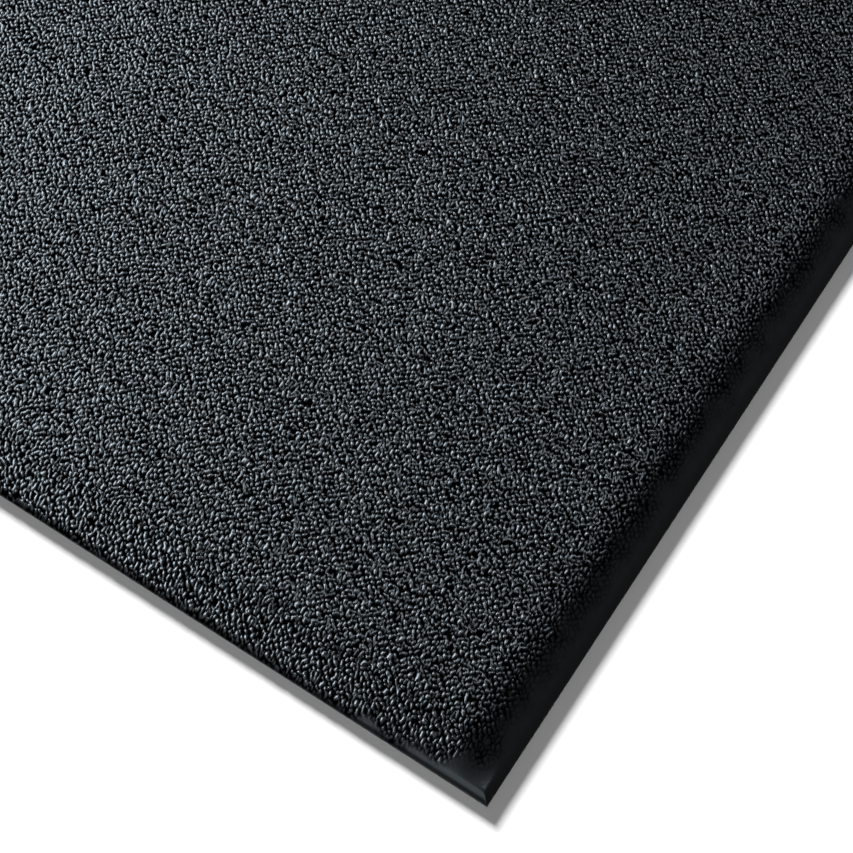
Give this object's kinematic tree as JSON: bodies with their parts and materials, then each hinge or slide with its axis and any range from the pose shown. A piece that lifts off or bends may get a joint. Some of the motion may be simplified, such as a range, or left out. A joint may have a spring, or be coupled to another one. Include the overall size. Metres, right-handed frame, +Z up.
{
  "type": "anti fatigue mat",
  "caption": "Rectangular black anti-fatigue floor mat with a pebble-embossed vinyl skin, a foam core, a grip backing and pressed bevelled edges.",
  "frame": {"origin": "on the floor under the middle of the mat", "axes": "+X along the long side, +Y across the mat, +Z up out of the wear face"},
  "size_m": [0.9144, 0.6096, 0.0095],
  "materials": {
    "embossed_vinyl": "semi-gloss pebble-embossed vinyl",
    "closed_cell_foam": "matt closed-cell foam",
    "grip_vinyl": "matt textured grip"
  },
  "bodies": {
    "root": {"wear_skin": "embossed_vinyl", "foam_core": "closed_cell_foam", "grip_backing": "grip_vinyl"}
  },
  "joints": []
}
